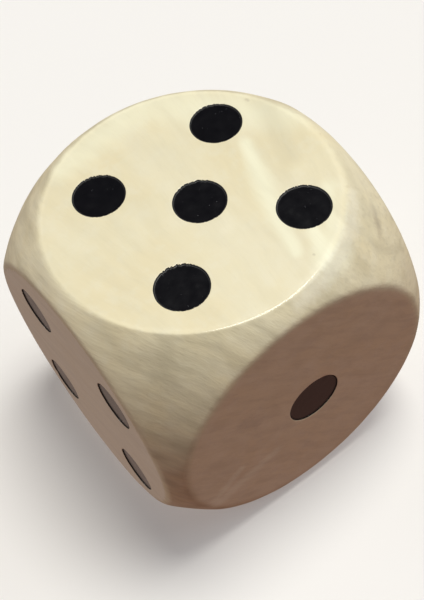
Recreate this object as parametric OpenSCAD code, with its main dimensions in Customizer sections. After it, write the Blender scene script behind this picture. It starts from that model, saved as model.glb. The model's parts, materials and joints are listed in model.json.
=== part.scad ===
// Giant yard die: one solid wooden block, turned to a ball at its corners, with 21 stamped
// and painted pips. +Z is up, the five faces up, the one faces -Y and the four faces -X.
// The origin is the centre of the face that the die rests on. Opposite faces add up to seven.

/* [Block] */
// Distance between two opposite flat faces
edge = 90; // [88:1:130]
// Diameter of the ball that the corners are turned to, as a multiple of the edge
ball_ratio = 1.35; // [1.32:0.005:1.38]
// Radius of the sanded bend between a flat face and the ball
bend_radius = 2.4; // [0.8:0.2:4]

/* [Pips] */
// Diameter of a pip on the faces two to six
pip_diameter = 14.8; // [10:0.1:16]
// Diameter of the single pip of the face one
ace_diameter = 16.9; // [12:0.1:20]
// Distance of an outer pip from the middle of its pattern, along each edge
pip_spread = 19.4; // [16:0.1:20]
// Depth that the wood is sunk under a pip
recess_depth = 1; // [0.8:0.1:2]
// How far the middle of the paint lies below the face
paint_drop = 0.3; // [0.25:0.05:0.7]
// How far the paint's edge lies below the face
paint_edge_drop = 0.1; // [0.05:0.05:0.2]

/* [Stamping tolerance] */
// Sideways and upward slip of the pattern of the face one
slip_one = [2.4, -0.2]; // [-3:0.1:3]
// Sideways and upward slip of the pattern of the face two
slip_two = [-0.6, 0.9]; // [-3:0.1:3]
// Sideways and upward slip of the pattern of the face three
slip_three = [0.8, 0.7]; // [-3:0.1:3]
// Sideways and upward slip of the pattern of the face four
slip_four = [1.5, -1.2]; // [-3:0.1:3]
// Sideways and upward slip of the pattern of the face five
slip_five = [2.3, -0.9]; // [-3:0.1:3]
// Sideways and upward slip of the pattern of the face six
slip_six = [-1.1, 0.4]; // [-3:0.1:3]
// Turn of the pattern of the face four, in degrees
turn_four = -1.1; // [-3:0.1:3]
// Turn of the pattern of the face five, in degrees
turn_five = -0.6; // [-3:0.1:3]

/* [Hidden] */
$fn = 96;
half = edge / 2;
ball_radius = edge * ball_ratio / 2;
// The bend's arc starts level with the flat face and ends level with the ball's surface
bend_centre_z = half - bend_radius;
bend_centre_r = sqrt(pow(ball_radius - bend_radius, 2) - pow(bend_centre_z, 2));
bend_angle = atan2(bend_centre_r, bend_centre_z);
bend_steps = 4;
// Reach of the face envelopes, far enough out that their slopes clear the ball
envelope_radius = 2 * ball_radius;
// Points of the painted surface from the middle of a pip to its edge
paint_steps = 8;
// Power that keeps the paint level until it climbs close to the wall
paint_climb = 9;
wood_colour = [0.87, 0.76, 0.58];
paint_colour = [0.05, 0.05, 0.055];

LOW_LEFT = ["low_left", -1, -1];
LOW_RIGHT = ["low_right", 1, -1];
HIGH_LEFT = ["high_left", -1, 1];
HIGH_RIGHT = ["high_right", 1, 1];
MIDDLE = ["middle", 0, 0];
LEFT = ["left", -1, 0];
RIGHT = ["right", 1, 0];

// One row a face: name, turn from the top face, pattern's slip and turn, pip diameter, pips
FACES = [
    ["one", [90, 0, 0], slip_one, 0, ace_diameter, [MIDDLE]],
    ["two", [180, 0, 0], slip_two, 0, pip_diameter, [LOW_LEFT, HIGH_RIGHT]],
    ["three", [90, 0, 90], slip_three, 0, pip_diameter, [LOW_RIGHT, MIDDLE, HIGH_LEFT]],
    ["four", [90, 0, -90], slip_four, turn_four, pip_diameter,
        [LOW_LEFT, LOW_RIGHT, HIGH_LEFT, HIGH_RIGHT]],
    ["five", [0, 0, 0], slip_five, turn_five, pip_diameter,
        [LOW_LEFT, LOW_RIGHT, MIDDLE, HIGH_LEFT, HIGH_RIGHT]],
    ["six", [90, 0, 180], slip_six, 0, pip_diameter,
        [LOW_LEFT, LEFT, HIGH_LEFT, LOW_RIGHT, RIGHT, HIGH_RIGHT]],
];

function pip_node(face, spot) = str("pip_", face[0], "_", spot[0]);

// Depth of the painted surface at a distance from the middle of a pip
function paint_depth(distance, radius) =
    paint_drop - (paint_drop - paint_edge_drop) * pow(distance / radius, paint_climb);

// Places its children on a face: its centre is their origin and its outward normal their +Z
module on_face(face) {
    translate([0, 0, half]) rotate(face[1]) translate([0, 0, half]) children();
}

// Places its children at one pip of a face
module at_pip(face, spot) {
    on_face(face) translate([face[2].x, face[2].y, 0]) rotate(face[3])
        translate([spot[1] * pip_spread, spot[2] * pip_spread, 0]) children();
}

// Two opposite flat faces with the bends round them, as one turned solid that clears the ball
module face_envelope() {
    bend = [for (i = [0:bend_steps])
        let (angle = i * bend_angle / bend_steps)
        [bend_centre_r + bend_radius * sin(angle), bend_centre_z + bend_radius * cos(angle)]];
    upper = concat([[0, half]], bend);
    lower = [for (i = [bend_steps + 1:-1:0]) [upper[i].x, -upper[i].y]];
    rotate_extrude() polygon(concat(upper, [[envelope_radius, 0]], lower));
}

// The die's wood before the pips are sunk
module rounded_cube() {
    intersection() {
        sphere(r = ball_radius);
        face_envelope();
        rotate([90, 0, 0]) face_envelope();
        rotate([0, 90, 0]) face_envelope();
    }
}

// The flat-bottomed recess of one pip, cut well past the face
module recess(diameter) {
    translate([0, 0, -recess_depth]) cylinder(d = diameter, h = 2 * recess_depth);
}

// The wooden block, with a recess for each pip
module block() {
    color(wood_colour) difference() {
        translate([0, 0, half]) rounded_cube();
        for (face = FACES) for (spot = face[5]) at_pip(face, spot) recess(face[4]);
    }
}

// The paint in one recess: level in the middle, with a thin lining up the wall
module pip(face, spot) {
    radius = face[4] / 2;
    surface = [for (i = [0:paint_steps])
        let (distance = radius * pow(i / paint_steps, 1 / 3))
        [distance, -paint_depth(distance, radius)]];
    color(paint_colour) at_pip(face, spot) rotate_extrude()
        polygon(concat([[radius, -recess_depth], [0, -recess_depth]], surface));
}

block();
for (face = FACES) for (spot = face[5])
    pip(face, spot);
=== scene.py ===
import json
import math
import random

import bmesh
import bpy
import numpy as np
from mathutils import Matrix, Vector, noise
from mathutils.geometry import delaunay_2d_cdt


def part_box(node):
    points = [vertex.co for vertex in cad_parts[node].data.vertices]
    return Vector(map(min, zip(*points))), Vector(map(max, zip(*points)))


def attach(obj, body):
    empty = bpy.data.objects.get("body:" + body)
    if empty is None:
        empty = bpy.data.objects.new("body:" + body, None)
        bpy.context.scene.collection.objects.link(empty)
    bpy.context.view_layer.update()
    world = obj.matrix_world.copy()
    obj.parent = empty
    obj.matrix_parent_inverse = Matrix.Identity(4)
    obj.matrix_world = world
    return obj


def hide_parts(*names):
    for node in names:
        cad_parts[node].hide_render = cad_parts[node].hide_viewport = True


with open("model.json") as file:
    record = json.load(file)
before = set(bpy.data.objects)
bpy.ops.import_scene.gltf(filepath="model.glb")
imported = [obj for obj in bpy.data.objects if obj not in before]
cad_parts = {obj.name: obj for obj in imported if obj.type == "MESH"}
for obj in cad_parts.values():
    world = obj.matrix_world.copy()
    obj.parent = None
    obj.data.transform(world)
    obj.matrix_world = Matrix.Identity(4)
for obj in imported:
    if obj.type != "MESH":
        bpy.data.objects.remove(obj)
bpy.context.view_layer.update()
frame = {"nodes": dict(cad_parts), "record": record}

# A giant yard die: one varnished wooden block and 21 painted pips. Their sizes and places come
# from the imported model, and the fine detail of their surfaces is set here. Lengths are in
# metres, and MM turns millimetres into metres.
MM = 0.001
SEED = 21

# ---------------------------------------------------------------- sizes taken from the frame

LOW, HIGH = (np.array(corner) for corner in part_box("block"))
CENTRE = (LOW + HIGH) / 2
EDGE = float(HIGH[2] - LOW[2])
HALF = EDGE / 2
RECESS_DEPTH = 1.0 * MM  # of a pip's recess, as the CAD cuts it
TOUCH = 0.01 * MM  # points this near the top face count as on it


def measure_block():
    """The ball's radius and the flat faces' radius, from the CAD block's own points."""
    vertices = frame["nodes"]["block"].data.vertices
    points = np.array([vertex.co for vertex in vertices], float) - CENTRE
    on_top = points[points[:, 2] > HALF - TOUCH]
    return np.linalg.norm(points, axis=1).max(), np.hypot(on_top[:, 0], on_top[:, 1]).max()


BALL_RADIUS, FLAT_RADIUS = (float(radius) for radius in measure_block())
# The bend's arc leaves the flat face at FLAT_RADIUS and meets the ball from inside
BEND_RADIUS = (BALL_RADIUS**2 - HALF**2 - FLAT_RADIUS**2) / (2 * (BALL_RADIUS - HALF))
BEND_ANGLE = math.atan2(FLAT_RADIUS, HALF - BEND_RADIUS)

# ---------------------------------------------------------------- mesh density

RING_STEPS = 320  # points round a flat face, a multiple of four
BEND_STEPS = 9  # rings across the bend round a flat face
LATTICE = 1.0 * MM  # spacing of the points on the flats and on the ball
OUTLINE_GAP = 0.6 * LATTICE  # between an outline and the nearest lattice points
COLLAR_GAP = 0.45 * LATTICE  # between a pip's collar and the nearest lattice points
RIM_STEPS = 192  # points round a pip
COLLAR = 1.5 * MM  # width of the fine rings round a pip
COLLAR_RINGS = (1.0, 0.63, 0.36, 0.18, 0.06)  # where they lie, as shares of that width
NECK_STEPS = 4  # points across the neck between two flat faces
WELD = 0.002 * MM  # points nearer than this become one

# ---------------------------------------------------------------- the block's wear and grain

FIBRE = np.array([0.0, 1.0, 0.0])  # the fibres run from the face one to the face six
RIM_WAVE = 0.05 * MM  # a pip's rim wanders inwards by up to twice this
TEAR_DEPTH = 0.6 * MM
TEAR_LEAN = -0.35  # how far the torn stretch of a rim is turned from the fibres' end, radians
TEAR_BACK = 0.3  # share of the tearing at the fibres' other end
PRESS = 0.02 * MM  # how far the stamp has pressed a rim down
# The recess's wall, as steps inwards from the rim and heights from the face
WALL = ((0.0, -PRESS), (-0.02 * MM, -4 * PRESS), (-0.05 * MM, -RECESS_DEPTH))


def face_axes(normal):
    """Right, up and outward directions of a flat face."""
    out = np.array(normal, float)
    up = np.array([0.0, 0.0, 1.0]) if abs(out[2]) < 0.5 else np.array([0.0, 1.0, 0.0])
    return np.cross(up, out), up, out


FACES = {
    mount["name"].removeprefix("face_"): face_axes(mount["axis"])
    for mount in frame["record"]["mounts"]
}


def on_face(axes, across, along, height=0.0):
    """Points in the row frame from their places on a flat face."""
    right, up, out = axes
    across, along, height = np.broadcast_arrays(across, along, height)
    place = np.outer(across, right) + np.outer(along, up) + np.outer(HALF + height, out)
    return CENTRE + place


def wobble(point, size, seed):
    """Smooth noise from about -1 to 1 at a point, with features of the given size."""
    return noise.noise(Vector(point) / size + Vector((seed, 3.7 * seed, -seed)))


class Pip:
    """One painted pip: its node, its place on its face and its slightly torn rim."""

    def __init__(self, number, node):
        self.node = node
        self.number = number
        self.face = node.split("_")[1]
        self.axes = FACES[self.face]
        low, high = (np.array(corner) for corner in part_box(node))
        middle = (low + high) / 2 - CENTRE
        self.across = float(middle @ self.axes[0])
        self.along = float(middle @ self.axes[1])
        self.radius = float(abs((high - low) @ self.axes[0])) / 2
        self.angles = np.arange(RIM_STEPS) * 2 * math.pi / RIM_STEPS
        self.rim = self.make_rim()

    def make_rim(self):
        """Rim radius at each angle. The cutter tears the wood where its fibres run out."""
        chance = random.Random(SEED + self.number)
        fibre = math.atan2(FIBRE @ self.axes[1], FIBRE @ self.axes[0])
        runs_flat = math.hypot(FIBRE @ self.axes[1], FIBRE @ self.axes[0])
        rim = np.full(RIM_STEPS, self.radius)
        for i, angle in enumerate(self.angles):
            spot = (math.cos(angle), math.sin(angle), self.number)
            rim[i] -= RIM_WAVE * (1 + wobble(spot, 0.3, 2))
            leaving = runs_flat * math.cos(angle - fibre - TEAR_LEAN)
            torn = max(0.0, leaving) ** 4 + TEAR_BACK * max(0.0, -leaving) ** 4
            rim[i] -= TEAR_DEPTH * torn * chance.random() ** 2
        return rim

    def ring(self, reach, height):
        """A ring of points at each angle's own distance from the pip's middle."""
        return on_face(
            self.axes,
            self.across + reach * np.cos(self.angles),
            self.along + reach * np.sin(self.angles),
            height,
        )

    def collar(self, share):
        """Distances of a ring in the pip's collar: round outside, torn next to the rim."""
        round_part = min(1.0, share / COLLAR_RINGS[1])
        return (1 - round_part) * self.rim + round_part * self.radius + share * COLLAR


PIPS = [
    Pip(number, node)
    for number, node in enumerate(sorted(frame["nodes"]))
    if node.startswith("pip_")
]


# ---------------------------------------------------------------- building the block

class Patchwork:
    """Points and faces of a mesh that is built patch by patch and welded at the end."""

    def __init__(self):
        self.points = []
        self.faces = []

    def add_points(self, points):
        """Adds points and returns their numbers."""
        first = len(self.points)
        self.points.extend(map(tuple, points))
        return np.arange(first, len(self.points))

    def add_strip(self, lower, upper):
        """Joins two closed rings of the same number of points."""
        count = len(lower)
        for i in range(count):
            j = (i + 1) % count
            self.faces.append((lower[i], lower[j], upper[j], upper[i]))

    def add_fan(self, ring, middle):
        """Joins a closed ring to its middle point."""
        count = len(ring)
        for i in range(count):
            self.faces.append((ring[i], ring[(i + 1) % count], middle))

    def mesh(self, name):
        """Welds the patches, turns every face outward and returns the mesh."""
        mesh = bpy.data.meshes.new(name)
        faces = [tuple(int(i) for i in face) for face in self.faces]
        mesh.from_pydata([Vector(point) for point in self.points], [], faces)
        work = bmesh.new()
        work.from_mesh(mesh)
        bmesh.ops.remove_doubles(work, verts=work.verts, dist=WELD)
        bmesh.ops.recalc_face_normals(work, faces=work.faces)
        for face in work.faces:
            face.smooth = True
        work.to_mesh(mesh)
        work.free()
        return mesh


def lattice(reach, spacing):
    """Points of a triangular lattice that covers a square of twice the reach."""
    rows = int(reach / (spacing * math.sqrt(0.75))) + 1
    columns = int(reach / spacing) + 1
    return np.array([
        ((column + 0.5 * (row % 2)) * spacing, row * spacing * math.sqrt(0.75))
        for row in range(-rows, rows + 1)
        for column in range(-columns, columns + 1)
    ])


def triangles(flat_points):
    """Delaunay triangles between points of a plane, as rows of three of their numbers."""
    result = delaunay_2d_cdt([Vector(point) for point in flat_points], [], [], 0, 1e-9)
    faces, origins = result[2], result[3]
    return np.array([[origins[i][0] for i in face] for face in faces])


def within(rows, first, last):
    """Which triangles have all three corners in a range of point numbers."""
    return ((rows >= first) & (rows < last)).all(axis=1)


def flat_lattice(pips):
    """Lattice points of a flat face that keep clear of its outline and its pips' collars."""
    inner = lattice(FLAT_RADIUS, LATTICE)
    inner = inner[np.hypot(inner[:, 0], inner[:, 1]) < FLAT_RADIUS - OUTLINE_GAP]
    for pip in pips:
        distance = np.hypot(inner[:, 0] - pip.across, inner[:, 1] - pip.along)
        inner = inner[distance > pip.radius + COLLAR + COLLAR_GAP]
    return inner


def build_flat(work, name, axes):
    """A flat face from its bend inwards, with a hole for each pip's collar."""
    pips = [pip for pip in PIPS if pip.face == name]
    angles = np.arange(RING_STEPS) * 2 * math.pi / RING_STEPS
    rings = [FLAT_RADIUS * np.column_stack([np.cos(angles), np.sin(angles)])]
    for pip in pips:
        reach = pip.collar(1.0)
        across = pip.across + reach * np.cos(pip.angles)
        along = pip.along + reach * np.sin(pip.angles)
        rings.append(np.column_stack([across, along]))
    flat_points = np.vstack(rings + [flat_lattice(pips)])
    rows = triangles(flat_points)
    last = RING_STEPS
    for pip in pips:
        rows = rows[~within(rows, last, last + RIM_STEPS)]
        last += RIM_STEPS
    numbers = work.add_points(on_face(axes, flat_points[:, 0], flat_points[:, 1]))
    work.faces.extend(map(tuple, numbers[rows]))


def build_recess(work, pip):
    """The collar, the rim, the wall and the floor of one pip's recess."""
    rings = [work.add_points(pip.ring(pip.collar(share), 0.0)) for share in COLLAR_RINGS]
    rings += [work.add_points(pip.ring(pip.rim + step, height)) for step, height in WALL]
    for outer, inner in zip(rings, rings[1:]):
        work.add_strip(outer, inner)
    middle = work.add_points(on_face(pip.axes, pip.across, pip.along, -RECESS_DEPTH))
    work.add_fan(rings[-1], middle[0])


def build_bend(work, axes):
    """The even bend between a flat face and the ball, as the CAD has it."""
    angles = np.arange(RING_STEPS) * 2 * math.pi / RING_STEPS
    rings = []
    for step in range(BEND_STEPS + 1):
        slope = BEND_ANGLE * step / BEND_STEPS
        reach = FLAT_RADIUS + BEND_RADIUS * math.sin(slope)
        sunk = BEND_RADIUS * (math.cos(slope) - 1)
        across, along = reach * np.cos(angles), reach * np.sin(angles)
        rings.append(work.add_points(on_face(axes, across, along, sunk)))
    for inner, outer in zip(rings, rings[1:]):
        work.add_strip(inner, outer)


def octant_outline():
    """Unit directions round the ball's piece between three flat faces: arcs, then necks."""
    unit = np.eye(3)
    quarter = np.linspace(0, math.pi / 2, RING_STEPS // 4 + 1)
    across_neck = np.linspace(BEND_ANGLE, math.pi / 2 - BEND_ANGLE, NECK_STEPS + 1)[1:-1]
    arcs, necks = [], []
    for i in range(3):
        a, b, c = unit[i], unit[(i + 1) % 3], unit[(i + 2) % 3]
        turn = np.outer(np.cos(quarter), b) + np.outer(np.sin(quarter), c)
        arcs.append(math.cos(BEND_ANGLE) * a + math.sin(BEND_ANGLE) * turn)
        necks.append(np.outer(np.cos(across_neck), a) + np.outer(np.sin(across_neck), b))
    return arcs, necks


def build_octant(work, signs, directions, rows):
    """One of the ball's eight pieces, mirrored from the first."""
    points = CENTRE + BALL_RADIUS * directions * np.array(signs)
    numbers = work.add_points(points)
    order = rows if np.prod(signs) > 0 else rows[:, ::-1]
    work.faces.extend(map(tuple, numbers[order]))


def octant_pattern():
    """Directions and triangles of the ball's piece between three flat faces."""
    arcs, necks = octant_outline()
    middle = np.ones(3) / math.sqrt(3)
    side = np.array([1.0, -1.0, 0.0]) / math.sqrt(2)
    rise = np.cross(middle, side)
    spread = lattice(1.0, LATTICE / (2 * BALL_RADIUS))
    size = (spread**2).sum(axis=1)[:, None]
    lifted = np.outer(spread[:, 0], side) + np.outer(spread[:, 1], rise)
    inner = (2 * lifted + (1 - size) * middle) / (1 + size)
    margin = OUTLINE_GAP / BALL_RADIUS
    inner = inner[(inner < math.cos(BEND_ANGLE + margin)).all(axis=1)]
    inner = inner[(inner > margin).all(axis=1)]
    directions = np.vstack(arcs + necks + [inner])
    shadow = 1 + directions @ middle
    flat_points = np.column_stack([directions @ side / shadow, directions @ rise / shadow])
    rows = triangles(flat_points)
    arc_size = len(arcs[0])
    for i in range(3):
        rows = rows[~within(rows, i * arc_size, (i + 1) * arc_size)]
    return directions, rows


def build_block_mesh():
    """The whole block as the CAD has it, before its surface is made uneven."""
    work = Patchwork()
    for name, axes in FACES.items():
        build_flat(work, name, axes)
        build_bend(work, axes)
    for pip in PIPS:
        build_recess(work, pip)
    directions, rows = octant_pattern()
    for signs in np.ndindex(2, 2, 2):
        build_octant(work, [1 - 2 * sign for sign in signs], directions, rows)
    return work.mesh("wood_block")


# ---------------------------------------------------------------- unevenness of the surface

WAVE = 0.05 * MM  # a hand-sanded flat is this uneven
WAVE_SIZE = 19 * MM
TURNED_WAVE = 0.20 * MM
TURNED_WAVE_SIZE = 8 * MM
RIDGE = 0.05 * MM  # fibres stand this proud on the turned corners
RIDGE_SIZE = 2.2 * MM
RIDGE_LEAN = 0.4  # how far the ridges drift along X for each step along Y
RIDGE_STRETCH = 0.12  # the ridges change this much more slowly along Y than across it
SOFT_CREASE = (-0.64 * MM, 4.0 * MM)  # start from the flat face's edge, and radius
CRISP_CREASE = (0.25 * MM, 0.8 * MM)
CRISP_WAY = (-0.5, -0.866)  # the top face's edge is crisp at its two ends along this way
CRISP_FROM = 0.6  # cosine of the angle from that way at which the edge starts to be crisp
CRISP_FULL = 0.9
CREASE_SLOPE = math.radians(34)  # where the crease ends and the shoulder begins
CREASE_SINE = math.sin(CREASE_SLOPE)
CREASE_COSINE = math.cos(CREASE_SLOPE)
TURNED_START = FLAT_RADIUS + SOFT_CREASE[0]
TURNED_WIDTH = BEND_RADIUS * math.sin(BEND_ANGLE) - SOFT_CREASE[0]
DENTS = 26
DENT_RADII = (1.4 * MM, 3.0 * MM)
DENT_DEPTH = 0.16 * MM


def scatter_dents():
    """Shallow knocks from play: places on the surface, their radii and depths."""
    chance = random.Random(SEED)
    dents = []
    for _ in range(DENTS):
        way = Vector([chance.gauss(0, 1) for _ in range(3)]).normalized()
        reach = min(BALL_RADIUS, HALF / max(abs(part) for part in way))
        radius = chance.uniform(*DENT_RADII)
        dents.append((way * reach, radius, DENT_DEPTH * chance.uniform(0.2, 1.0)))
    return dents


DENT_LIST = scatter_dents()


def turned_share(place):
    """0 on a flat face or in a pip, 1 on the turned ball, for a place from the centre."""
    size = np.sort(np.abs(place))
    past = math.hypot(size[0], size[1]) - TURNED_START
    return min(1.0, max(0.0, past / TURNED_WIDTH))


def smooth_step(value, low, high):
    """0 below the low value, 1 above the high one, and smooth between them."""
    share = min(1.0, max(0.0, (value - low) / (high - low)))
    return share * share * (3 - 2 * share)


def crease_at(place, axis):
    """Start and radius of the sanded crease at a place near the edge of a flat face."""
    crisp = 0.0
    if axis == 2 and place[2] > 0:
        reach = abs(place[0] * CRISP_WAY[0] + place[1] * CRISP_WAY[1])
        crisp = smooth_step(reach / math.hypot(place[0], place[1]), CRISP_FROM, CRISP_FULL)
    ends = zip(SOFT_CREASE, CRISP_CREASE)
    start, radius = ((1 - crisp) * soft + crisp * sharp for soft, sharp in ends)
    return FLAT_RADIUS + start, radius


def shoulder_from(aside, height):
    """Radius and middle of the broad arc from the crease's end smoothly into the ball."""
    along = aside * CREASE_SINE + height * CREASE_COSINE
    radius = (BALL_RADIUS**2 - aside**2 - height**2) / (2 * (BALL_RADIUS - along))
    return radius, aside - radius * CREASE_SINE, height - radius * CREASE_COSINE


def sanded_height(aside, start, radius):
    """Height of the sanded edge at a distance from a face's axis, or the face's height."""
    end = start + radius * CREASE_SINE
    if aside < end:
        return HALF - radius + math.sqrt(radius**2 - max(0.0, aside - start) ** 2)
    shoulder, middle, height = shoulder_from(end, HALF - radius * (1 - CREASE_COSINE))
    if aside < middle * BALL_RADIUS / (BALL_RADIUS - shoulder):
        return height + math.sqrt(shoulder**2 - (aside - middle) ** 2)
    return HALF


def edge_shift(place):
    """The move of a place from the CAD's even bend down to the sanded edge."""
    shift = Vector((0, 0, 0))
    axis = int(np.argmax(np.abs(place)))
    aside = math.hypot(place[axis - 1], place[axis - 2])
    if aside > TURNED_START:
        drop = max(0.0, abs(place[axis]) - sanded_height(aside, *crease_at(place, axis)))
        shift[axis] = -math.copysign(drop, place[axis])
    return shift


def surface_shift(place):
    """How far the surface at a place from the centre is moved, and never out of the box."""
    turned = turned_share(place)
    axis = int(np.argmax(np.abs(place)))
    spot = Vector(place)
    if turned < 1.0:
        spot[axis] = math.copysign(HALF, place[axis])
    flat_way = Vector((0, 0, 0))
    flat_way[axis] = math.copysign(1.0, place[axis])
    way = flat_way.lerp(spot.normalized(), turned).normalized()
    grain = Vector((spot.x + RIDGE_LEAN * spot.y, RIDGE_STRETCH * spot.y, spot.z))
    depth = WAVE * (0.5 + 0.5 * wobble(spot, WAVE_SIZE, 1))
    depth += turned * TURNED_WAVE * (0.5 + 0.5 * wobble(spot, TURNED_WAVE_SIZE, 2))
    depth += turned * RIDGE * (0.5 + 0.5 * wobble(grain, RIDGE_SIZE, 3))
    for middle, radius, deep in DENT_LIST:
        near = (spot - middle).length_squared / radius**2
        if near < 4:
            depth += deep * math.exp(-2 * near)
    return edge_shift(place) - depth * way


def store(mesh, name, values):
    """Stores a number for each of a mesh's points, for its material to read."""
    mesh.attributes.new(name, "FLOAT", "POINT").data.foreach_set("value", values)


def uneven(mesh):
    """Moves a mesh's points with the surface and stores how far each one is turned."""
    turned = np.empty(len(mesh.vertices), np.float32)
    for vertex in mesh.vertices:
        place = np.array(vertex.co) - CENTRE
        turned[vertex.index] = turned_share(place)
        vertex.co += surface_shift(place)
    store(mesh, "turned", turned)
    mesh.update()


# ---------------------------------------------------------------- the pips' paint

# Rings of the paint's surface, as shares of its radius
PAINT_RINGS = (0.12, 0.26, 0.4, 0.53, 0.65, 0.76, 0.85, 0.92, 0.96, 0.975, 0.985, 0.992)
PAINT_DROP = 0.3 * MM  # the paint's level middle below the face
PAINT_EDGE_DROP = 0.06 * MM
PAINT_CLIMB = 60  # the power by which the paint climbs the wall
PAINT_GAP = 0.02 * MM  # between the paint and the recess's wall
POOL_WAVE = 0.014 * MM  # the paint's level middle is this uneven
POOL_WAVE_SIZE = 2.6 * MM


def paint_height(pip, share):
    """Heights round a ring of the paint's surface: level, then climbing the wall."""
    climb = (PAINT_DROP - PAINT_EDGE_DROP) * share**PAINT_CLIMB
    spots = pip.ring(share * pip.rim, 0.0)
    waves = np.array([wobble(spot, POOL_WAVE_SIZE, 5) for spot in spots])
    return -PAINT_DROP + climb + POOL_WAVE * waves * (1 - share**4)


def sink_paint(mesh, out):
    """Moves the paint with the wood and stores how far each point has climbed the wall."""
    climb = np.empty(len(mesh.vertices), np.float32)
    for vertex in mesh.vertices:
        place = np.array(vertex.co) - CENTRE
        drop = HALF - float(place @ out)
        climb[vertex.index] = min(1.0, max(0.0, 1 - drop / PAINT_DROP))
        vertex.co += surface_shift(place)
    store(mesh, "climb", climb)


def build_paint(pip):
    """One pool of paint as a closed solid that fills the lower part of its recess."""
    work = Patchwork()
    edge = pip.rim - PAINT_GAP
    top = work.add_points(on_face(pip.axes, pip.across, pip.along, -PAINT_DROP))
    rings = [
        work.add_points(pip.ring(share * edge, paint_height(pip, share)))
        for share in PAINT_RINGS
    ]
    for drop in (PAINT_EDGE_DROP, RECESS_DEPTH):
        rings.append(work.add_points(pip.ring(edge, -drop)))
    bottom = work.add_points(on_face(pip.axes, pip.across, pip.along, -RECESS_DEPTH))
    work.add_fan(rings[0], top[0])
    for inner, outer in zip(rings, rings[1:]):
        work.add_strip(inner, outer)
    work.add_fan(rings[-1], bottom[0])
    mesh = work.mesh("paint_" + pip.node)
    sink_paint(mesh, pip.axes[2])
    return mesh


# ---------------------------------------------------------------- node trees

class Nodes:
    """Short calls for building a node tree."""

    def __init__(self, tree):
        self.tree = tree

    def put(self, socket, value):
        """Links a socket to another one, or sets its value."""
        if isinstance(value, bpy.types.NodeSocket):
            self.tree.links.new(value, socket)
        else:
            socket.default_value = value

    def add(self, kind, *values, **settings):
        """A node with its inputs in order and its settings by name."""
        node = self.tree.nodes.new("ShaderNode" + kind)
        for key, value in settings.items():
            setattr(node, key, value)
        for socket, value in zip(node.inputs, values):
            self.put(socket, value)
        return node

    def math(self, operation, *values, clamp=False):
        return self.add("Math", *values, operation=operation, use_clamp=clamp).outputs[0]

    def vector(self, operation, *values):
        node = self.add("VectorMath", *values, operation=operation)
        return node.outputs["Value" if operation == "DOT_PRODUCT" else "Vector"]

    def texture(self, kind, place, **inputs):
        """A texture node at a place, with its inputs by name."""
        node = self.add("Tex" + kind)
        self.put(node.inputs["Vector"], place)
        for name, value in inputs.items():
            self.put(node.inputs[name], value)
        return node

    def noise(self, place, scale, detail=2.0, roughness=0.5):
        inputs = {"Scale": scale, "Detail": detail, "Roughness": roughness}
        return self.texture("Noise", place, **inputs).outputs["Fac"]

    def span(self, value, low, high, to_low=0.0, to_high=1.0):
        """Maps a value smoothly from one range to another, and no further."""
        node = self.add("MapRange", value, low, high, to_low, to_high)
        node.interpolation_type = "SMOOTHSTEP"
        return node.outputs[0]

    def blend(self, factor, first, second):
        """A colour between two colours."""
        node = self.add("Mix", data_type="RGBA")
        self.put(node.inputs[0], factor)
        self.put(node.inputs[6], first)
        self.put(node.inputs[7], second)
        return node.outputs[2]


class Material(Nodes):
    """A material with one Principled shader, whose textures lie in the block's space."""

    def __init__(self, name):
        self.material = bpy.data.materials.new(name)
        self.material.use_nodes = True
        super().__init__(self.material.node_tree)
        self.tree.nodes.clear()
        self.surface = self.add("BsdfPrincipled")
        self.add("OutputMaterial", self.surface.outputs[0])

    def millimetres(self):
        """The place on the object in millimetres from the block's middle."""
        place = self.add("TexCoord").outputs["Object"]
        return self.vector("MULTIPLY_ADD", place, (1 / MM,) * 3, tuple(-CENTRE / MM))

    def attribute(self, name):
        """A number that is stored on the mesh's points."""
        return self.add("Attribute", attribute_name=name).outputs["Fac"]

    def bump(self, height, distance, strength):
        node = self.add("Bump", strength, distance)
        self.put(node.inputs["Height"], height)
        return node.outputs[0]

    def finish(self, **values):
        """Sets the shader's inputs, with a _ for each blank, and returns the material."""
        for name, value in values.items():
            self.put(self.surface.inputs[name.replace("_", " ")], value)
        return self.material


# ---------------------------------------------------------------- the wood

CREAM = (0.83, 0.755, 0.525, 1)
PEACH = (0.83, 0.735, 0.485, 1)
PALE = (0.85, 0.79, 0.59, 1)
# The next colour is a pale cream for the bright figure, also used for painted light along the
# top face's edge.
FIGURE_AND_RIM_LIGHT = (0.93, 0.895, 0.665, 1)
# The next colour is the whitish tint of a painted sheen on the ball.
SHEEN_WHITE = (0.93, 0.90, 0.76, 1)
OLIVE = (0.50, 0.445, 0.295, 1)
BROWN = (0.30, 0.22, 0.13, 1)
GREY = (0.33, 0.30, 0.26, 1)

# Grain noise: the sizes of its features across the growth layers, along the fibre and sideways
# in millimetres, then its detail and roughness
FIGURE = (7.5, 55, 40, 2.0, 0.55)
STREAKS = (2.3, 26, 10, 3.0, 0.55)
FIBRES = (0.5, 7, 1.4, 2.0, 0.55)
PORES = (0.5, 2.6, 0.6, 1.0, 0.55)
BLOTCHES = (5.0, 19, 9, 2.0, 0.5)
LAYER_LEAN = 0.70  # slope of the growth layers across the block
LAYER_LENGTH = 1.22  # length of the layers' direction (1, LAYER_LEAN)
LAYER_SWAY = (6.0, 0.0, 6.0)  # how far the layers wander, in millimetres
LAYER_TWIST = -0.006  # how much they turn with each millimetre

# How strongly each kind of grain shows: on the top face, on the turned corners
STREAK_STRENGTHS = (0.10, 0.36)
BLOTCH_STRENGTHS = (0.08, 0.50)
FIBRE_STRENGTHS = (0.06, 0.16)
SPECKLE_STRENGTHS = (0.0, 0.30)
PORE_STRENGTHS = (0.04, 0.14)
RELIEF_STRENGTHS = (0.12, 1.0)
SIDE_GAIN = 1.7  # how much more the grain shows on the sides than on the top face
SPECKLED_WAY = (0.55, -0.60, 0.58)  # towards the corner whose grain is calm and speckled
SPECKLED_REACH = (50.0, 62.0)
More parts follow.
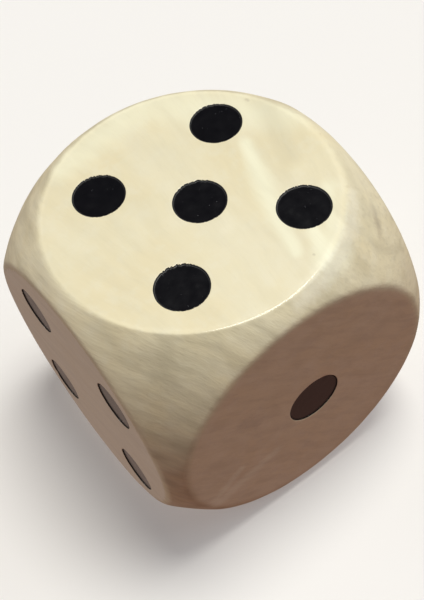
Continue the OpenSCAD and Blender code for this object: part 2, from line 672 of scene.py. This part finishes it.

# Figure, marks, painted light and painted sheen, in millimetres from the block's middle: start,
# end, reach at each end
LIGHT_FIGURE = (
    ((23.6, 6.5, 45), (19.0, -5.5, 45), 3.4, 5.4),
    ((19.0, -5.5, 45), (14.6, -18.0, 45), 5.4, 4.8),
    ((14.6, -18.0, 45), (10.8, -30.5, 45), 4.8, 3.0),
    ((18.8, -27.5, 45), (14.0, -38.0, 44.6), 3.0, 5.2),
)
# Painted light: lighter bands along the top face's edge and on the ball just under it.
PAINTED_RIM_LIGHT = (
    ((30.0, -20.0, 45), (18.0, -35.5, 44.8), 4.5, 5.5),
    ((22.0, -37.0, 42.6), (12.0, -41.0, 42.0), 5.0, 3.5),
    ((38.0, 8.0, 45), (12.0, 38.0, 45), 11.0, 11.0),
    ((12.0, 38.0, 45), (-20.0, 34.0, 45), 11.0, 8.0),
)
DARK_FIGURE = (
    ((36.5, 16.0, 45), (29.5, -5.0, 45), 6.5, 5.0),
    ((-37.0, -39.5, 20.0), (-43.5, -27.0, 22.0), 4.5, 6.0),
    ((-34.5, -28.0, 43.0), (-24.0, -40.0, 39.0), 3.0, 4.4),
)
RAYS = (
    ((-36.5, -45, -20.0), (-12.0, -45, -14.0), 4.6, 3.0),
    ((-34.0, -45, -17.0), (-24.0, -45, -9.5), 3.4, 2.4),
)
MARKS = (
    ((36.9, -31.3, 36.7), (34.9, -34.8, 35.6), 2.4, 2.6),
    ((33.5, 19.6, 45), (33.5, 19.0, 45), 0.8, 0.8),
    ((13.6, -33.9, 45), (13.7, -34.1, 45), 0.55, 0.5),
    ((9.5, -42.2, 41.0), (11.5, -42.0, 41.0), 0.7, 0.5),
    ((20.3, -38.0, 42.0), (22.0, -37.0, 42.0), 0.7, 0.5),
)
# Painted sheen: a whitish tint on the ball just under the top face's edge, standing in for
# reflected light.
PAINTED_SHEEN_LINES = (
    ((34.5, -24.5, 43.3), (27.5, -32.0, 43.3), 3.0, 4.8),
    ((27.5, -32.0, 43.3), (14.5, -39.7, 43.3), 4.8, 4.6),
    ((14.5, -39.7, 43.3), (2.0, -42.3, 43.2), 4.6, 3.0),
)
POLISHED = (
    ((-22.0, -34.2, 44.8), (-9.0, -39.6, 44.8), 0.6, 1.8),
    ((-9.0, -39.6, 44.8), (4.5, -40.4, 44.8), 1.8, 1.8),
    ((4.5, -40.4, 44.8), (17.5, -36.6, 44.8), 1.8, 0.6),
)
SCUFFS = (
    ((-19.5, -45, 12.5), (-17.0, -45, 8.5), 5.0, 4.0),
    ((37.6, -29.5, 37.1), (36.4, -32.6, 36.4), 3.6, 3.0),
)


class Wood(Material):
    """Pale varnished hardwood whose grain runs through the block from face to face."""

    def __init__(self):
        super().__init__("varnished_wood")
        self.place = self.millimetres()
        self.grain = self.grain_space()
        self.streaks = self.grain_noise(*STREAKS)
        self.fibres = self.grain_noise(*FIBRES)
        self.brushed = self.math("MULTIPLY_ADD", self.streaks, 0.6, -0.3)
        self.ragged = self.math("SUBTRACT", self.noise(self.place, 0.9, 2.0), 0.5)
        self.find_regions()

    def grain_space(self):
        """Places in the wood's own directions: across the layers, along the fibre, sideways."""
        drift = self.texture("Noise", self.place, Scale=0.035, Detail=2.0)
        sway = self.vector("MULTIPLY", drift.outputs["Color"], LAYER_SWAY)
        x, y, z = self.add("SeparateXYZ", self.vector("ADD", self.place, sway)).outputs
        twist = self.math("MULTIPLY", self.math("MULTIPLY", x, y), LAYER_TWIST)
        layer = self.math("ADD", self.math("MULTIPLY_ADD", x, LAYER_LEAN, z), twist)
        side = self.math("MULTIPLY_ADD", z, -LAYER_LEAN, x)
        layer = self.math("DIVIDE", layer, LAYER_LENGTH)
        side = self.math("DIVIDE", side, LAYER_LENGTH)
        return self.add("CombineXYZ", layer, y, side).outputs[0]

    def grain_noise(self, across, along, side, detail, roughness):
        scaled = self.vector("MULTIPLY", self.grain, (1 / across, 1 / along, 1 / side))
        return self.noise(scaled, 1.0, detail, roughness)

    def find_regions(self):
        """Masks of the sanded edges, the turned corners, the sides and the speckled corner."""
        bend = self.attribute("turned")
        fray = self.math("SUBTRACT", self.noise(self.place, 0.9, 3.0), 0.5)
        height = self.add("SeparateXYZ", self.place).outputs["Z"]
        self.edge = self.span(bend, 0.0, 0.25)
        self.turned = self.span(self.math("MULTIPLY_ADD", fray, 0.5, bend), 0.25, 0.75)
        self.side = self.span(height, HALF / MM - 1.5, HALF / MM - 0.5, 1.0, 0.0)
        toward = self.vector("DOT_PRODUCT", self.place, SPECKLED_WAY)
        self.speckled = self.span(toward, *SPECKLED_REACH)

    def near_lines(self, lines, softness, ragged):
        """1 on short straight lines, falling to 0 at their reach, with a ragged outline."""
        total = None
        for start, end, reach, end_reach in lines:
            run = Vector(end) - Vector(start)
            away = self.vector("SUBTRACT", self.place, start)
            share = self.vector("DOT_PRODUCT", away, tuple(run / run.length_squared))
            share = self.math("MULTIPLY", share, 1.0, clamp=True)
            nearest = self.add("VectorMath", tuple(run), operation="SCALE")
            self.put(nearest.inputs["Scale"], share)
            gap = self.vector("SUBTRACT", away, nearest.outputs["Vector"])
            gap = self.add("VectorMath", gap, operation="LENGTH").outputs["Value"]
            width = self.math("MULTIPLY_ADD", share, end_reach - reach, reach)
            gap = self.math("ADD", self.math("DIVIDE", gap, width), ragged)
            line = self.span(gap, 1.0 - softness, 1.0, 1.0, 0.0)
            total = line if total is None else self.math("MAXIMUM", total, line)
        return total

    def shown(self, mask, turned, side, strengths):
        """A mask weakened to its strength on the top face, the sides and the corners."""
        on_top, on_corners = strengths
        strength = self.math("MULTIPLY_ADD", side, SIDE_GAIN * on_top, on_top)
        change = self.math("SUBTRACT", on_corners, strength)
        return self.math("MULTIPLY", mask, self.math("MULTIPLY_ADD", turned, change, strength))

    def tint(self, colour, mask, strength, other):
        """A colour blended with another one by a mask of the given strength."""
        return self.blend(self.math("MULTIPLY", mask, strength), colour, other)

    def ground(self):
        """The wood's cloudy ground colour with its broad figure."""
        clouds = self.noise(self.place, 0.06, 2.0)
        mottle = self.noise(self.place, 0.26, 3.0, 0.6)
        figure = self.grain_noise(*FIGURE)
        colour = self.blend(self.span(clouds, 0.3, 0.7), CREAM, PEACH)
        colour = self.blend(self.span(mottle, 0.42, 0.72, 0.0, 0.5), colour, PALE)
        return self.blend(self.span(figure, 0.5, 0.75, 0.0, 0.45), colour, PALE)

    def add_figure_and_rim_light(self, colour):
        """The bright figure of the top face, painted light along its edge, and the faint rays of
        the face one.
        """
        faint = self.math("MULTIPLY", self.brushed, 0.6)
        colour = self.tint(colour, self.near_lines(LIGHT_FIGURE, 0.95, faint), 0.95, FIGURE_AND_RIM_LIGHT)
        # Painted light along the top face's edge.
        colour = self.tint(colour, self.near_lines(PAINTED_RIM_LIGHT, 1.0, self.brushed), 0.7, FIGURE_AND_RIM_LIGHT)
        return self.blend(self.near_lines(RAYS, 1.0, self.brushed), colour, FIGURE_AND_RIM_LIGHT)

    def add_dark_grain(self, colour):
        """Streaks, blotches and fibres, calmer on the speckled corner, and dark figure."""
        calm = self.math("MULTIPLY_ADD", self.speckled, -0.55, 1.0)
        calm = self.math("MULTIPLY", self.turned, calm)
        blotches = self.grain_noise(*BLOTCHES)
        for noise_value, low, high, turned, strengths in (
            (self.streaks, 0.4, 0.75, calm, STREAK_STRENGTHS),
            (blotches, 0.4, 0.75, calm, BLOTCH_STRENGTHS),
            (self.fibres, 0.45, 0.8, self.turned, FIBRE_STRENGTHS),
        ):
            mask = self.span(noise_value, low, high)
            colour = self.blend(self.shown(mask, turned, self.side, strengths), colour, OLIVE)
        return self.tint(colour, self.near_lines(DARK_FIGURE, 1.0, self.brushed), 0.24, OLIVE)

    def add_speckles(self, colour):
        """Speckles on one corner, and open pores."""
        speckle = self.span(self.noise(self.place, 0.55, 2.0, 0.5), 0.5, 0.75)
        speckle = self.math("MULTIPLY", speckle, self.speckled)
        speckle = self.shown(speckle, self.turned, self.side, SPECKLE_STRENGTHS)
        colour = self.blend(speckle, colour, OLIVE)
        pores = self.span(self.grain_noise(*PORES), 0.68, 0.8)
        pores = self.shown(pores, self.turned, self.side, PORE_STRENGTHS)
        return self.blend(pores, colour, BROWN)

    def add_wear_and_sheen(self, colour):
        """Marks, scuffs, and a painted sheen: a whitish tint on the ball under the top face's
        edge.
        """
        colour = self.tint(colour, self.near_lines(MARKS, 1.0, self.ragged), 0.28, BROWN)
        colour = self.tint(colour, self.near_lines(SCUFFS, 1.0, self.ragged), 0.22, GREY)
        # Painted sheen on the turned ball below the top face's edge.
        sheen_strength = self.math("MULTIPLY", self.turned, 0.35)
        return self.tint(colour, self.near_lines(PAINTED_SHEEN_LINES, 1.0, self.ragged), sheen_strength, SHEEN_WHITE)

    def roughness(self):
        """Rougher past the sanded edges, and worn unevenly everywhere."""
        worn = self.noise(self.place, 0.16, 3.0, 0.6)
        past_edge = self.math("MULTIPLY_ADD", self.edge, 0.24, 0.30)
        return self.math("MULTIPLY_ADD", worn, 0.12, past_edge)

    def coat(self):
        """Varnish that is rubbed thin past the sanded edges, but not where they are polished."""
        polished = self.near_lines(POLISHED, 0.5, self.ragged)
        coat = self.math("MULTIPLY_ADD", self.edge, -0.62, 0.7)
        return self.math("MULTIPLY_ADD", polished, 0.45, coat, clamp=True)

    def relief(self):
        """Raised fibres, which the varnish nearly levels on the flat faces."""
        fine = self.math("ADD", self.fibres, self.math("MULTIPLY", self.streaks, 0.8))
        depth = self.shown(fine, self.turned, 0.0, RELIEF_STRENGTHS)
        return self.bump(depth, 0.06 * MM, 0.9)


def wood_material():
    wood = Wood()
    colour = wood.add_figure_and_rim_light(wood.ground())
    colour = wood.add_dark_grain(colour)
    colour = wood.add_speckles(colour)
    return wood.finish(
        Base_Color=wood.add_wear_and_sheen(colour),
        Roughness=wood.roughness(),
        Normal=wood.relief(),
        Coat_Weight=wood.coat(),
        Coat_Roughness=0.13,
        Coat_IOR=1.5,
        IOR=1.55,
    )


# ---------------------------------------------------------------- the paint and the floor

BLACK = (0.002, 0.002, 0.003, 1)
SMEARED_BLACK = (0.004, 0.004, 0.0055, 1)
DUST = (0.10, 0.10, 0.11, 1)


def paint_material():
    """Black enamel with a few dust nibs, a slightly uneven gloss and a dull rim."""
    paint = Material("black_paint")
    place = paint.millimetres()
    grid = paint.texture("Voronoi", place, Scale=1.1)
    nib = paint.span(grid.outputs["Distance"], 0.07, 0.14, 1.0, 0.0)
    nib = paint.math("MULTIPLY", nib, paint.span(paint.noise(place, 0.8, 1.0), 0.6, 0.64))
    smear = paint.noise(place, 0.35, 3.0)
    colour = paint.blend(smear, BLACK, SMEARED_BLACK)
    dull = paint.span(paint.attribute("climb"), 0.0, 0.12, 0.0, 0.5)
    gloss = paint.math("MULTIPLY_ADD", smear, 0.12, 0.13)
    relief = paint.math("ADD", nib, paint.noise(place, 1.6, 2.0))
    return paint.finish(
        Base_Color=paint.blend(paint.math("MULTIPLY", nib, 0.8), colour, DUST),
        Roughness=paint.math("ADD", gloss, dull),
        Normal=paint.bump(relief, 0.012 * MM, 0.8),
        IOR=1.5,
        Specular_IOR_Level=0.4,
    )


def floor_material():
    """Plain pale card that glows a little, as a well lit floor does."""
    return Material("studio_floor").finish(
        Base_Color=(0.65, 0.635, 0.615, 1),
        Roughness=0.9,
        Emission_Color=(1.0, 0.97, 0.95, 1),
        Emission_Strength=0.23,
    )


# ---------------------------------------------------------------- pieces

def add_piece(name, mesh, material, node):
    """Puts a finished mesh in the scene in place of its CAD node."""
    mesh.materials.append(material)
    piece = bpy.data.objects.new(name, mesh)
    bpy.context.scene.collection.objects.link(piece)
    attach(piece, "root")
    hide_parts(node)
    return piece


def add_die():
    """The block and its 21 pools of paint."""
    block = build_block_mesh()
    uneven(block)
    add_piece("wood_block", block, wood_material(), "block")
    paint = paint_material()
    for pip in PIPS:
        add_piece("paint_" + pip.node, build_paint(pip), paint, pip.node)


# ---------------------------------------------------------------- camera, floor and light

CAMERA_PLACE = (-0.9741, -1.9069, 3.0796)  # from the die's middle, in edges
CAMERA_HEADING = 27.21  # degrees from +Y towards +X
CAMERA_DIP = 55.22  # degrees below the horizontal
CAMERA_ROLL = -11.35  # degrees, with the right side down
CAMERA_LENS = 68.97  # millimetres, on a 36 mm sensor

# Distant lights: heading from +X towards +Y, height and apparent width in degrees, then
# strength and colour
LIGHTS = {
    "overhead": (14, 75, 26, 2.54, (1.0, 0.98, 0.92)),
    "window": (-12, 50, 50, 0.92, (0.88, 0.95, 1.0)),
    "back": (140, 12, 28, 0.50, (1.0, 0.97, 0.97)),
}
BELOW_NEAR = (0.295, 0.155, 0.12, 1)
BELOW_FAR = (0.33, 0.25, 0.21, 1)
ABOVE = (0.055, 0.052, 0.06, 1)
BACKDROP = (0.94, 0.92, 0.895, 1)


def add_camera():
    data = bpy.data.cameras.new("camera")
    data.lens = CAMERA_LENS
    data.clip_start = 0.01
    camera = bpy.data.objects.new("camera", data)
    turn = (
        Matrix.Rotation(math.radians(-CAMERA_HEADING), 4, "Z")
        @ Matrix.Rotation(math.radians(90 - CAMERA_DIP), 4, "X")
        @ Matrix.Rotation(math.radians(CAMERA_ROLL), 4, "Z")
    )
    camera.matrix_world = Matrix.Translation(CENTRE + EDGE * np.array(CAMERA_PLACE)) @ turn
    bpy.context.scene.collection.objects.link(camera)
    bpy.context.scene.camera = camera


def add_floor():
    """A floor that the camera sees. The light from below is the world's, not the floor's."""
    work = bmesh.new()
    bmesh.ops.create_grid(work, x_segments=1, y_segments=1, size=40 * EDGE)
    mesh = bpy.data.meshes.new("studio_floor")
    work.to_mesh(mesh)
    work.free()
    mesh.materials.append(floor_material())
    floor = bpy.data.objects.new("studio_floor", mesh)
    floor.location.z = float(LOW[2])
    floor.visible_diffuse = False
    floor.visible_glossy = False
    bpy.context.scene.collection.objects.link(floor)


def add_lights():
    for name, (heading, height, width, strength, colour) in LIGHTS.items():
        data = bpy.data.lights.new(name, "SUN")
        data.angle = math.radians(width)
        data.energy = strength
        data.color = colour
        light = bpy.data.objects.new(name, data)
        light.rotation_euler = (0, math.radians(90 - height), math.radians(heading))
        bpy.context.scene.collection.objects.link(light)


def add_world():
    """A dim room over the die and a rosy table under it; the camera sees a pale backdrop."""
    world = bpy.data.worlds.new("studio")
    world.use_nodes = True
    sky = Nodes(world.node_tree)
    way = sky.add("SeparateXYZ", sky.add("TexCoord").outputs["Generated"]).outputs
    below = sky.blend(sky.span(way["Y"], -0.3, 0.6), BELOW_NEAR, BELOW_FAR)
    room = sky.blend(sky.span(way["Z"], -0.25, 0.35), below, ABOVE)
    seen = sky.add("LightPath").outputs["Is Camera Ray"]
    shown = sky.blend(seen, room, BACKDROP)
    sky.put(sky.tree.nodes["Background"].inputs["Color"], shown)
    bpy.context.scene.world = world


add_camera()
add_floor()
add_die()
add_lights()
add_world()
bpy.context.scene.view_settings.view_transform = "Standard"
